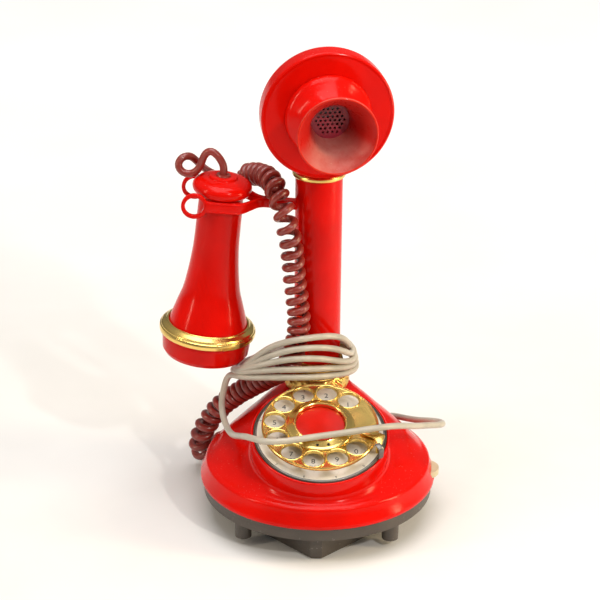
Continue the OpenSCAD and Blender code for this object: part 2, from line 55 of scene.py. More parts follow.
# ------------------------------------------------------------------ camera
def make_camera():
    f, D, e, a, roll = 2469.5, 1600.0, math.radians(25.03), math.radians(-2.5), math.radians(0.78)
    T = np.array([0.0, 0.0, 133.5])
    px = (319.4, 327.28)
    back = np.array([math.sin(a) * math.cos(e), -math.cos(a) * math.cos(e), math.sin(e)])
    C = T + back * D
    fwd = -back
    right = np.cross(fwd, [0, 0, 1.0]); right /= np.linalg.norm(right)
    up = np.cross(right, fwd)
    R0 = np.array([right, up, -fwd])
    c, s = math.cos(roll), math.sin(roll)
    R0 = np.array([[c, s, 0], [-s, c, 0], [0, 0, 1]]) @ R0
    d = np.array([(px[0] - 300) / f, (300 - px[1]) / f, -1.0]); d /= np.linalg.norm(d)
    z = np.array([0, 0, -1.0])
    v = np.cross(z, d); cc = z @ d
    K = np.array([[0, -v[2], v[1]], [v[2], 0, -v[0]], [-v[1], v[0], 0]])
    R = (np.eye(3) + K + K @ K / (1 + cc)) @ R0
    data = bpy.data.cameras.new("camera")
    cam = bpy.data.objects.new("camera", data)
    bpy.context.scene.collection.objects.link(cam)
    m = Matrix.Identity(4)
    for i in range(3):
        for j in range(3):
            m[j][i] = R[i][j]
        m[i][3] = C[i] * MM
    cam.matrix_world = m
    data.sensor_width = 36.0
    data.lens = 36.0 * f / 600.0
    data.clip_start = 0.05
    data.clip_end = 30.0
    data.dof.use_dof = False
    bpy.context.scene.camera = cam
    return cam

make_camera()

# ------------------------------------------------------------------ helpers
def link(ob):
    bpy.context.scene.collection.objects.link(ob)
    return ob

def mesh_object(name, verts, faces, mat=None, smooth=True, sharp=None):
    me = bpy.data.meshes.new(name)
    me.from_pydata([tuple(v) for v in verts], [], [tuple(f) for f in faces])
    me.validate(verbose=False)
    me.update()
    if smooth:
        me.polygons.foreach_set("use_smooth", [True] * len(me.polygons))
    ob = link(bpy.data.objects.new(name, me))
    if sharp is not None:
        me.set_sharp_from_angle(angle=math.radians(sharp))
    if mat is not None:
        me.materials.append(mat)
    return ob

def frame_matrix(origin, rots):
    """origin in mm; rots is a list of (axis, degrees) applied like nested OpenSCAD rotates."""
    m = Matrix.Translation(Vector([x * MM for x in origin]))
    for ax, deg in rots:
        m = m @ Matrix.Rotation(math.radians(deg), 4, ax)
    return m

STEM_Y = 34.0
HOOK_Z = 204.6
RECV_U = 63.5
DIAL = frame_matrix((0, -33, 78.8), [("X", 19)])
STEM = frame_matrix((0, STEM_Y, 0), [])
HOOK = frame_matrix((0, STEM_Y, HOOK_Z), [("Y", 5)])
RECV = HOOK @ Matrix.Translation(Vector((-RECV_U * MM, 0, 0.25 * MM))) @ Matrix.Rotation(math.radians(0.8), 4, "Y")
HEAD = frame_matrix((0, STEM_Y, 262.6), [("Z", 8), ("X", 2)])
HEADAX = HEAD @ Matrix.Translation(Vector((0, 0, 15 * MM))) @ Matrix.Rotation(math.radians(90), 4, "X")

def place(ob, m):
    ob.data.transform(m)
    ob.data.update()
    return ob

def fillet(P, r=0.5, seg=3):
    """Rounds the corners of a closed or open profile given in mm; r may be a number or a dict by index."""
    out = []
    n = len(P)
    for i, p in enumerate(P):
        ri = r.get(i, 0) if isinstance(r, dict) else r
        if i == 0 or i == n - 1 or ri <= 0:
            out.append(tuple(p)); continue
        a, b, c = np.array(P[i - 1], float), np.array(p, float), np.array(P[i + 1], float)
        u, v = a - b, c - b
        lu, lv = np.linalg.norm(u), np.linalg.norm(v)
        if lu < 1e-6 or lv < 1e-6:
            out.append(tuple(p)); continue
        u, v = u / lu, v / lv
        ang = math.acos(max(-1, min(1, float(u @ v))))
        if ang > math.radians(172):
            out.append(tuple(p)); continue
        d = min(ri / math.tan(ang / 2), lu * 0.45, lv * 0.45)
        p0, p1 = b + u * d, b + v * d
        for k in range(seg + 1):
            t = k / seg
            out.append(tuple((1 - t) ** 2 * p0 + 2 * t * (1 - t) * b + t * t * p1))
    return out

def lathe(name, P, m, mat, n=128, closed=True, r=0.5, seg=3, sharp=None, wave=None):
    """Turns a profile of (radius, height) in mm about the local Z axis."""
    Q = list(P)
    if closed:
        Q = fillet([P[-1]] + list(P) + [P[0]], r if not isinstance(r, dict) else {k + 1: v for k, v in r.items()}, seg)[1:-1]
    else:
        Q = fillet(Q, r, seg)
    clean = [Q[0]]
    for q in Q[1:]:
        if math.dist(q, clean[-1]) > 1e-4:
            clean.append(q)
    Q = clean
    if closed and math.dist(Q[0], Q[-1]) < 1e-4:
        Q.pop()
    k = len(Q)
    verts, faces = [], []
    ring = []
    for i, (rad, z) in enumerate(Q):
        if rad < 1e-5:
            ring.append([len(verts)] * n); verts.append((0, 0, z * MM)); continue
        ids = []
        for j in range(n):
            t = 2 * math.pi * j / n
            rr = rad + (wave(t, rad, z) if wave else 0)
            ids.append(len(verts)); verts.append((rr * math.cos(t) * MM, rr * math.sin(t) * MM, z * MM))
        ring.append(ids)
    for i in range(k if closed else k - 1):
        A, B = ring[i], ring[(i + 1) % k]
        for j in range(n):
            q = [A[j], A[(j + 1) % n], B[(j + 1) % n], B[j]]
            u = []
            for x in q:
                if x not in u: u.append(x)
            if len(u) >= 3: faces.append(u)
    ob = mesh_object(name, verts, faces, mat, True, sharp)
    bm = bmesh.new(); bm.from_mesh(ob.data)
    bmesh.ops.recalc_face_normals(bm, faces=bm.faces)
    bm.to_mesh(ob.data); bm.free()
    return place(ob, m)

def spline(P, step=2.0, alpha=0.5):
    """Centripetal Catmull-Rom through P (mm), resampled evenly about every step mm."""
    P = np.array(P, float)
    Q = np.vstack([2 * P[0] - P[1], P, 2 * P[-1] - P[-2]])
    pts = []
    for i in range(1, len(Q) - 2):
        p0, p1, p2, p3 = Q[i - 1:i + 3]
        t0 = 0.0
        t1 = t0 + max(np.linalg.norm(p1 - p0), 1e-6) ** alpha
        t2 = t1 + max(np.linalg.norm(p2 - p1), 1e-6) ** alpha
        t3 = t2 + max(np.linalg.norm(p3 - p2), 1e-6) ** alpha
        for t in np.linspace(t1, t2, 24, endpoint=False):
            a1 = (t1 - t) / (t1 - t0) * p0 + (t - t0) / (t1 - t0) * p1
            a2 = (t2 - t) / (t2 - t1) * p1 + (t - t1) / (t2 - t1) * p2
            a3 = (t3 - t) / (t3 - t2) * p2 + (t - t2) / (t3 - t2) * p3
            b1 = (t2 - t) / (t2 - t0) * a1 + (t - t0) / (t2 - t0) * a2
            b2 = (t3 - t) / (t3 - t1) * a2 + (t - t1) / (t3 - t1) * a3
            pts.append((t2 - t) / (t2 - t1) * b1 + (t - t1) / (t2 - t1) * b2)
    pts.append(P[-1])
    return resample(np.array(pts), step)

def arclen(P):
    return np.concatenate([[0], np.cumsum(np.linalg.norm(np.diff(P, axis=0), axis=1))])

def resample(P, step):
    s = arclen(P)
    n = max(2, int(round(s[-1] / step)) + 1)
    t = np.linspace(0, s[-1], n)
    return np.stack([np.interp(t, s, P[:, i]) for i in range(3)], 1)

def smooth(P, rounds=2):
    P = P.copy()
    for _ in range(rounds):
        P[1:-1] = 0.25 * P[:-2] + 0.5 * P[1:-1] + 0.25 * P[2:]
    return P

def frames(P):
    T = np.gradient(P, axis=0)
    T /= np.linalg.norm(T, axis=1)[:, None]
    N = np.zeros_like(P)
    ref = np.array([0, 0, 1.0]) if abs(T[0][2]) < 0.9 else np.array([1.0, 0, 0])
    n = np.cross(T[0], ref); n /= np.linalg.norm(n)
    for i in range(len(P)):
        n = n - T[i] * (n @ T[i]); n /= np.linalg.norm(n)
        N[i] = n
    return T, N, np.cross(T, N)

def tube_mesh(name, P, r, mat, sides=12):
    """A closed round tube along P (mm). r is a number or one radius for each point."""
    T, N, B = frames(P)
    r = np.full(len(P), r, float) if np.isscalar(r) else np.asarray(r, float)
    a = 2 * np.pi * np.arange(sides) / sides
    V = (P[:, None, :] + r[:, None, None] * (np.cos(a)[None, :, None] * N[:, None, :] + np.sin(a)[None, :, None] * B[:, None, :])).reshape(-1, 3) * MM
    F = []
    for i in range(len(P) - 1):
        for j in range(sides):
            F.append((i * sides + j, i * sides + (j + 1) % sides, (i + 1) * sides + (j + 1) % sides, (i + 1) * sides + j))
    F.append(tuple(range(sides - 1, -1, -1)))
    F.append(tuple((len(P) - 1) * sides + j for j in range(sides)))
    return mesh_object(name, V, F, mat, True, 60)

# ------------------------------------------------------------------ materials
def new_mat(name):
    m = bpy.data.materials.new(name)
    m.use_nodes = True
    nt = m.node_tree
    return m, nt, nt.nodes["Principled BSDF"]

def add(nt, kind, **kw):
    n = nt.nodes.new(kind)
    for k, v in kw.items():
        if k in n.inputs: n.inputs[k].default_value = v
        else: setattr(n, k, v)
    return n

def noise(nt, scale, detail=4.0, rough=0.55, coord=None):
    n = add(nt, "ShaderNodeTexNoise")
    n.inputs["Scale"].default_value = scale
    n.inputs["Detail"].default_value = detail
    n.inputs["Roughness"].default_value = rough
    if coord is not None: nt.links.new(coord, n.inputs["Vector"])
    return n

def ramp(nt, src, lo, hi, a, b):
    r = nt.nodes.new("ShaderNodeMapRange")
    r.inputs["From Min"].default_value = lo; r.inputs["From Max"].default_value = hi
    r.inputs["To Min"].default_value = a; r.inputs["To Max"].default_value = b
    nt.links.new(src, r.inputs["Value"])
    return r.outputs["Result"]

def mix(nt, fac, c1, c2, mode="MIX"):
    n = nt.nodes.new("ShaderNodeMix"); n.data_type = "RGBA"; n.blend_type = mode
    for i, c in ((6, c1), (7, c2)):
        if isinstance(c, (tuple, list)): n.inputs[i].default_value = (*c, 1.0) if len(c) == 3 else c
        else: nt.links.new(c, n.inputs[i])
    if isinstance(fac, (int, float)): n.inputs[0].default_value = fac
    else: nt.links.new(fac, n.inputs[0])
    return n.outputs[2]

def bump(nt, b, height, strength, dist, chain=None):
    n = nt.nodes.new("ShaderNodeBump")
    n.inputs["Strength"].default_value = strength
    n.inputs["Distance"].default_value = dist
    nt.links.new(height, n.inputs["Height"])
    if chain is not None: nt.links.new(chain, n.inputs["Normal"])
    nt.links.new(n.outputs["Normal"], b.inputs["Normal"])
    return n.outputs["Normal"]

def objco(nt):
    return nt.nodes.new("ShaderNodeTexCoord").outputs["Object"]

def glossy_red(name, base=(0.65, 0.0038, 0.0010), rough=0.15, dust=0.5, peel=0.35, dust_and_sheen_wash=0.0):
    """Moulded gloss red: slight mottling, orange peel, hairline rubs, a little dust on upward faces and an optional
    pale wash on upward faces, which is dust inside the horn and a painted highlight on the horn lip.
    """
    m, nt, b = new_mat(name)
    co = objco(nt)
    big = noise(nt, 28, 3, 0.5, co); fine = noise(nt, 260, 5, 0.6, co); spk = noise(nt, 900, 2, 0.5, co)
    c = mix(nt, ramp(nt, big.outputs["Fac"], 0.35, 0.7, 0, 1), tuple(x * 0.88 for x in base), tuple(min(1, x * 1.1) for x in base))
    geo = nt.nodes.new("ShaderNodeNewGeometry")
    sep = nt.nodes.new("ShaderNodeSeparateXYZ"); nt.links.new(geo.outputs["Normal"], sep.inputs[0])
    up = ramp(nt, sep.outputs["Z"], 0.35, 1.0, 0.0, 1.0)
    speck = ramp(nt, spk.outputs["Fac"], 0.66, 0.74, 0, 1)
    mul = nt.nodes.new("ShaderNodeMath"); mul.operation = "MULTIPLY"; nt.links.new(up, mul.inputs[0]); nt.links.new(speck, mul.inputs[1])
    mul2 = nt.nodes.new("ShaderNodeMath"); mul2.operation = "MULTIPLY"; nt.links.new(mul.outputs[0], mul2.inputs[0]); mul2.inputs[1].default_value = 0.30 * dust
    c = mix(nt, mul2.outputs[0], c, (0.75, 0.55, 0.48))
    # pale pink wash on upward faces: dust inside the horn, painted highlight on the horn lip
    if dust_and_sheen_wash:
        soft = noise(nt, 70, 5, 0.65, co)
        fm = nt.nodes.new("ShaderNodeMath"); fm.operation = "MULTIPLY"
        nt.links.new(ramp(nt, sep.outputs["Z"], 0.15, 0.95, 0.0, dust_and_sheen_wash), fm.inputs[0])
        nt.links.new(ramp(nt, soft.outputs["Fac"], 0.3, 0.65, 0.35, 1.0), fm.inputs[1])
        c = mix(nt, fm.outputs[0], c, (0.62, 0.30, 0.25))
    nt.links.new(c, b.inputs["Base Color"])
    r = ramp(nt, fine.outputs["Fac"], 0.3, 0.75, rough * 0.75, rough * 1.5)
    addn = nt.nodes.new("ShaderNodeMath"); addn.operation = "ADD"; nt.links.new(r, addn.inputs[0]); nt.links.new(mul2.outputs[0], addn.inputs[1])
    nt.links.new(addn.outputs[0], b.inputs["Roughness"])
    b.inputs["IOR"].default_value = 1.45
    b.inputs["Specular IOR Level"].default_value = 0.17
    b.inputs["Coat Weight"].default_value = 0.0
    ch = bump(nt, b, fine.outputs["Fac"], peel * 0.25, 0.0002)
    bump(nt, b, big.outputs["Fac"], peel * 0.3, 0.0006, ch)
    return m

def gold(name, base=(0.83, 0.52, 0.13), rough=0.17, wear=0.6):
    m, nt, b = new_mat(name)
    co = objco(nt)
    big = noise(nt, 60, 4, 0.6, co); fine = noise(nt, 600, 4, 0.6, co)
    mp = nt.nodes.new("ShaderNodeMapping"); nt.links.new(co, mp.inputs[0]); mp.inputs["Scale"].default_value = (1, 1, 14)
    brush = noise(nt, 160, 3, 0.6, mp.outputs[0])
    c = mix(nt, ramp(nt, big.outputs["Fac"], 0.4, 0.72, 0, wear * 0.55), base, (0.62, 0.33, 0.07))
    c = mix(nt, ramp(nt, fine.outputs["Fac"], 0.64, 0.82, 0, 0.12), c, (0.40, 0.24, 0.07))
    nt.links.new(c, b.inputs["Base Color"])
    b.inputs["Metallic"].default_value = 1.0
    nt.links.new(ramp(nt, big.outputs["Fac"], 0.3, 0.75, rough * 0.7, rough * 1.9), b.inputs["Roughness"])
    ch = bump(nt, b, brush.outputs["Fac"], 0.05, 0.0002)
    bump(nt, b, big.outputs["Fac"], 0.10, 0.0006, ch)
    return m

def metal(name, base=(0.55, 0.56, 0.58), rough=0.32, grain=1.0):
    m, nt, b = new_mat(name)
    co = objco(nt)
    n1 = noise(nt, 120, 4, 0.6, co); n2 = noise(nt, 900, 3, 0.6, co)
    c = mix(nt, ramp(nt, n1.outputs["Fac"], 0.35, 0.7, 0, 1), tuple(x * 0.82 for x in base), tuple(min(1, x * 1.08) for x in base))
    nt.links.new(c, b.inputs["Base Color"])
    b.inputs["Metallic"].default_value = 1.0
    nt.links.new(ramp(nt, n1.outputs["Fac"], 0.3, 0.7, rough * 0.75, rough * 1.35), b.inputs["Roughness"])
    bump(nt, b, n2.outputs["Fac"], 0.12 * grain, 0.0002)
    return m

def plastic(name, base, rough=0.45, grain=0.4, spots=0.0, spot_col=(0.8, 0.8, 0.78), scale=500, coat=0.0):
    m, nt, b = new_mat(name)
    co = objco(nt)
    n1 = noise(nt, 45, 4, 0.55, co); n2 = noise(nt, scale, 4, 0.6, co)
    c = mix(nt, ramp(nt, n1.outputs["Fac"], 0.35, 0.7, 0, 1), tuple(x * 0.85 for x in base), tuple(min(1, x * 1.15) for x in base))
    if spots:
        n3 = noise(nt, 330, 3, 0.7, co)
        c = mix(nt, ramp(nt, n3.outputs["Fac"], 0.66, 0.72, 0, spots), c, spot_col)
    nt.links.new(c, b.inputs["Base Color"])
    nt.links.new(ramp(nt, n2.outputs["Fac"], 0.3, 0.7, rough * 0.8, min(1, rough * 1.25)), b.inputs["Roughness"])
    b.inputs["Coat Weight"].default_value = coat
    b.inputs["Coat Roughness"].default_value = 0.2
    bump(nt, b, n2.outputs["Fac"], grain * 0.5, 0.0003)
    return m

M = {}
M["red"] = glossy_red("red_moulded")
M["red_stem"] = glossy_red("red_enamel", rough=0.14, dust=0.2, peel=0.25)
# horn lip: a brighter, more orange red and a pale wash on its upward faces paint a highlight ring along the mouth's
# rim; its dust specks are turned up too
M["red_lip"] = glossy_red("red_horn_lip_painted_highlight", base=(0.66, 0.020, 0.008), rough=0.10, dust=1.6, peel=0.5, dust_and_sheen_wash=0.35)
M["red_in"] = glossy_red("red_inside_horn", base=(0.50, 0.012, 0.008), rough=0.30, dust=1.2, peel=0.5, dust_and_sheen_wash=0.8)
M["gold"] = gold("gold_plate", base=(0.87, 0.62, 0.19))
M["gold_dull"] = gold("gold_collar", base=(0.80, 0.55, 0.15), rough=0.24, wear=0.9)
M["brass"] = metal("brass_part", (0.66, 0.44, 0.16), 0.3)
M["steel"] = metal("steel_part")
M["dark_steel"] = metal("dark_steel_stop", (0.20, 0.19, 0.18), 0.35)
M["black"] = plastic("base_black", (0.066, 0.053, 0.042), 0.42, 0.6, 0.35, (0.35, 0.33, 0.30), 700)
M["cream"] = plastic("cream_plate", (0.66, 0.62, 0.55), 0.30, 0.15, 0.0, coat=0.4)
M["ink"] = plastic("ink", (0.03, 0.03, 0.035), 0.5, 0.1)
M["maroon"] = plastic("maroon_vinyl", (0.255, 0.026, 0.017), 0.34, 0.25, 0.25, (0.42, 0.12, 0.09), 420, coat=0.35)
M["grey"] = plastic("grey_vinyl", (0.46, 0.42, 0.345), 0.40, 0.25, 0.25, (0.55, 0.52, 0.45), 420, coat=0.3)
M["phenolic"] = plastic("phenolic", (0.12, 0.05, 0.02), 0.4)
M["board"] = plastic("board_green", (0.04, 0.16, 0.07), 0.35)
M["tape"] = plastic("varnished_tape", (0.25, 0.11, 0.03), 0.45, 0.8)
M["ivory"] = plastic("ivory", (0.62, 0.54, 0.36), 0.4, 0.3)
M["iron"] = metal("cast_iron", (0.09, 0.09, 0.095), 0.6, 3)
M["card"] = plastic("red_card", (0.56, 0.008, 0.003), 0.16, 0.1, coat=0.3)
M["grille"] = plastic("grille_red", (0.36, 0.022, 0.045), 0.35, 0.3, 0.2, (0.4, 0.1, 0.1))
M["clear"] = plastic("clear_plug", (0.72, 0.76, 0.76), 0.12, 0.1)
M["clear"].node_tree.nodes["Principled BSDF"].inputs["Transmission Weight"].default_value = 0.75
M["dark"] = plastic("painted_hole_shade", (0.012, 0.010, 0.009), 0.7, 0.2)

SLOT_MAT = {"red_gloss": "red", "red_paint": "red_stem", "gold": "gold", "brass": "brass", "black": "black",
            "ballast": "iron", "steel": "steel", "cream": "cream", "maroon_vinyl": "maroon", "grey_vinyl": "grey",
            "phenolic": "phenolic", "board": "board", "coil_tape": "tape", "ivory": "ivory", "clear": "clear",
            "grille": "grille", "card": "card"}
for sp in frame["record"]["subparts"]:
    ob = NODES[sp["node"]]
    mat = M[SLOT_MAT[sp["material_slot"]]]
    if ob.data.materials:
        for i in range(len(ob.data.materials)): ob.data.materials[i] = mat
    else:
        ob.data.materials.append(mat)

# ------------------------------------------------------------------ cords (routes repeat part.scad's)
LEAD = [[-61.7, 34, 221.5], [-61.7, 34, 226.7], [-61.5, 34, 232], [-65, 34, 239], [-70, 35, 242.6], [-74, 36, 239],
        [-76.5, 37, 231.5], [-81, 38, 226], [-87.5, 38.5, 226], [-91, 39.5, 231], [-88, 42, 235.5],
        [-83, 45, 235], [-79, 49, 230], [-75, 55, 223.5], [-69, 61, 217], [-61.5, 64.5, 213],
        [-54.8, 65.6, 212.2]]
COIL = [[-52.7, 65.2, 211.8], [-47, 63, 214.8], [-41, 55.2, 218.6], [-35.6, 45.6, 221.2],
        [-31.4, 35.8, 222], [-28.8, 28.4, 220.2], [-26.4, 22, 216], [-23.4, 15.8, 208.8], [-20.4, 12.8, 197],
        [-17.6, 13.5, 180], [-16, 14, 162], [-13, 10.5, 130], [-19, 9, 104], [-36, 24, 84], [-52, 35, 69],
        [-65, 41, 55], [-76, 46, 35], [-78, 57, 15], [-67, 75, 9], [-54, 88, 9]]
TAIL = [[-54, 88, 9], [-51, 94, 7], [-47, 97, 9], [-45.5, 94, 16], [-46, 87, 22], [-45, 79, 24],
        [-43, 74.5, 24]]
LOOP = [[-59, 22, 89], [-62, 20, 79], [-64, 18, 68], [-61, 8, 59], [-57, -8, 60], [-52, -26, 68],
        [-46, -43, 76], [-36, -54, 78.3], [-24, -54, 78.6], [-12, -52, 79.5], [0, -50, 80.3],
        [12, -48, 81], [24, -45.5, 81.6], [37, -43, 82.3], [49, -35, 79.5], [62, -21, 72],
        [75, -8, 66], [83, 0, 62], [84, 6, 60.5], [78, 13, 58.2], [68, 26, 52.2], [59, 40, 47],
        [53.5, 52.5, 42.2], [48, 64, 36], [43, 75, 29], [41, 83, 21], [42, 90, 12], [40, 101, 4],
        [34, 106, 3.5], [30, 99, 9], [31.4, 90, 20.8], [30.6, 84.6, 23.6], [29.43, 80.87, 24]]
DROP = [[8, 59, 95], [9, 63, 84], [10, 68, 71], [11, 74, 57], [12, 81, 42], [12, 88, 27],
        [13, 96, 14], [16, 105, 8], [18, 113, 6.4]]
FLOOR_COIL = (-4, 126)
WIRE_R, COIL_R, LINE_R = 2.5, 8.4, 2.1

def handset_cord():
    lead = spline(LEAD, 1.5)
    core = smooth(spline(COIL, 1.0), 10)
    s = arclen(core); L = s[-1]
    # pitch of the turns at each point of the route, packed in places and stretched at the foot
    pitch = [5.7, 5.7, 5.9, 6.3, 6.8, 7.6, 9.0, 10.2, 9.6, 8.5, 8.2, 6.4, 5.5, 5.4, 5.5, 6.2, 9.5, 11.5, 11.0, 10.0]
    knots = [s[np.argmin(np.linalg.norm(core - np.array(k, float), axis=1))] for k in COIL]
    p = np.interp(s, knots, pitch)
    phase = np.concatenate([[0], np.cumsum(0.5 * (1 / p[1:] + 1 / p[:-1]) * np.diff(s))]) * 2 * np.pi
    T, N, B = frames(core)
    n = int(phase[-1] / (2 * np.pi) * 20)
    ph = np.linspace(0, phase[-1], n)
    sp = np.interp(ph, phase, s)
    c = np.stack([np.interp(sp, s, core[:, i]) for i in range(3)], 1)
    nn = np.stack([np.interp(sp, s, N[:, i]) for i in range(3)], 1); nn /= np.linalg.norm(nn, axis=1)[:, None]
    tt = np.stack([np.interp(sp, s, T[:, i]) for i in range(3)], 1); tt /= np.linalg.norm(tt, axis=1)[:, None]
    bb = np.cross(tt, nn)
    r = np.full(n, COIL_R - WIRE_R - 0.1)
    ease = lambda t: np.clip(t, 0, 1) ** 2 * (3 - 2 * np.clip(t, 0, 1))
    r *= ease(sp / 10.0 + 0.05) * ease((L - sp) / 10.0 + 0.05)
    # a hand-wound unevenness
    wob = 1 - 0.03 + 0.02 * np.sin(sp * 0.41) + 0.01 * np.sin(sp * 1.07 + 1.3)
    helix = c + (r * wob)[:, None] * (np.cos(ph)[:, None] * nn + np.sin(ph)[:, None] * bb)
    tail = spline(TAIL, 1.5)
    path = np.vstack([lead[:-1], helix[1:-1], tail[1:]])
    path = smooth(resample(path, 1.7), 2)
    ob = tube_mesh("handset_cord", path, WIRE_R, M["maroon"], 12)
    return ob, path, arclen(path)[-1]

def line_cord():
    """One cord: gland, over the dial, round the stem, down behind, two turns on the floor, plug."""
    loop = np.array(LOOP[::-1], float)
    # turns round the stem and the coiled cord; each knot is x, y, z
    turns = [
        # lowest strand, left to right in front, then round the back
        [(-59, 22, 90.3), (-52, 12, 92), (-39, 4, 95.6), (-23, -2, 98.4), (-6, -1.5, 98.2), (7, 5.5, 95.8), (18, 16.5, 91.8), (26.5, 31, 89.4), (24.5, 47, 91.2), (11, 57.5, 92.5), (-8, 57.8, 92.4), (-30, 49, 91.2), (-47, 37, 91)],
        [(-57.2, 21, 92.4), (-49, 10.5, 96.6), (-37, 2.5, 101.2), (-21.5, -2.2, 104.2), (-6, -1.2, 103.8), (7, 5.5, 101.4), (17.5, 15.8, 96.6), (25.4, 30, 93.0), (24.8, 46, 95.4), (12, 57.6, 96.4), (-7, 57.2, 95.6), (-29, 49, 92.8), (-46, 38, 91.8)],
        [(-55.8, 19, 93.8), (-46, 8.5, 100.2), (-35, 1.8, 106.6), (-20, -2, 111.4), (-5, -0.8, 111.6), (7.5, 5.4, 107.6), (17.2, 15.2, 101.2), (24.6, 28.5, 96.8), (23.8, 45, 99.2), (11.5, 56.2, 99.4), (-7, 55.2, 97.2), (-28, 47, 93.8), (-44, 37, 93)],
        [(-53, 16.5, 95), (-41.5, 7, 105.2), (-30.5, 1.4, 113), (-18, -1.2, 118.0), (-3.5, 0.6, 118.6), (9, 7.2, 115), (17.8, 16.8, 107.8), (23.2, 28.6, 100.6), (21.9, 44, 102.2), (10, 53.5, 101), (-7, 53, 98), (-26, 46, 94.8), (-42, 35, 94)],
        [(-50, 15, 97), (-41, 7.4, 108.8), (-31, 3.2, 118.4), (-18, 0.2, 123.8), (-4.2, 1.6, 125.4), (9.2, 8.8, 123.2), (17.8, 18.2, 116.4), (21.6, 28, 106.4), (20.5, 41, 103.4), (14, 50.5, 101.5)],
    ]
    wraps = [k for t in turns for k in t]
    drop = [[9.5, 56, 99]] + [list(k) for k in DROP[1:]]
    cx, cy = FLOOR_COIL
    coil = []
    a0 = math.atan2(113 - cy, 18 - cx)
    for i in range(1, 27):
        a = a0 + 0.35 + 2 * math.pi * i / 13.0
        z = 6.3 if i <= 11 else (6.3 - 4.2 * min(1, (i - 11) / 3.0))
        coil.append([cx + 24.6 * math.cos(a), cy + 24.6 * math.sin(a), z])
    aL = a0 + 0.35 + 2 * math.pi * 26 / 13.0
    coil += [[cx + 22.6 * math.cos(aL + 0.5), cy + 22.6 * math.sin(aL + 0.5), 2.4],
             [cx + 17 * math.cos(aL + 1.1), cy + 17 * math.sin(aL + 1.1), 2.7],
             [cx + 4.5, cy + 17.5, 2.9], [cx + 0.5, cy + 12, 2.9], [cx, cy + 5, 2.9]]
    P = np.vstack([loop[:-1], np.array(wraps), np.array(drop), np.array(coil)])
    path = smooth(spline(P, 1.6), 24)
    ob = tube_mesh("line_cord", path, LINE_R, M["grey"], 12)
    return ob, path, arclen(path)[-1]

hs, hs_path, hs_len = handset_cord()
ln, ln_path, ln_len = line_cord()
print("HANDSET CORD %.3f m, LINE CORD %.3f m" % (hs_len * MM, ln_len * MM))
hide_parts("handset_lead", "handset_coil", "handset_tail")
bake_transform(hs)
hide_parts("line_wraps", "line_loop", "line_drop", "line_coil")
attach(ln, "base")

# ------------------------------------------------------------------ housing from a distance field
BELL = [(73.2, 39.4), (69.5, 42.5), (64.5, 46.5), (58.5, 51), (51.5, 56), (44, 61), (36.5, 66.5), (29, 71.5), (24, 75), (22.5, 76.5)]

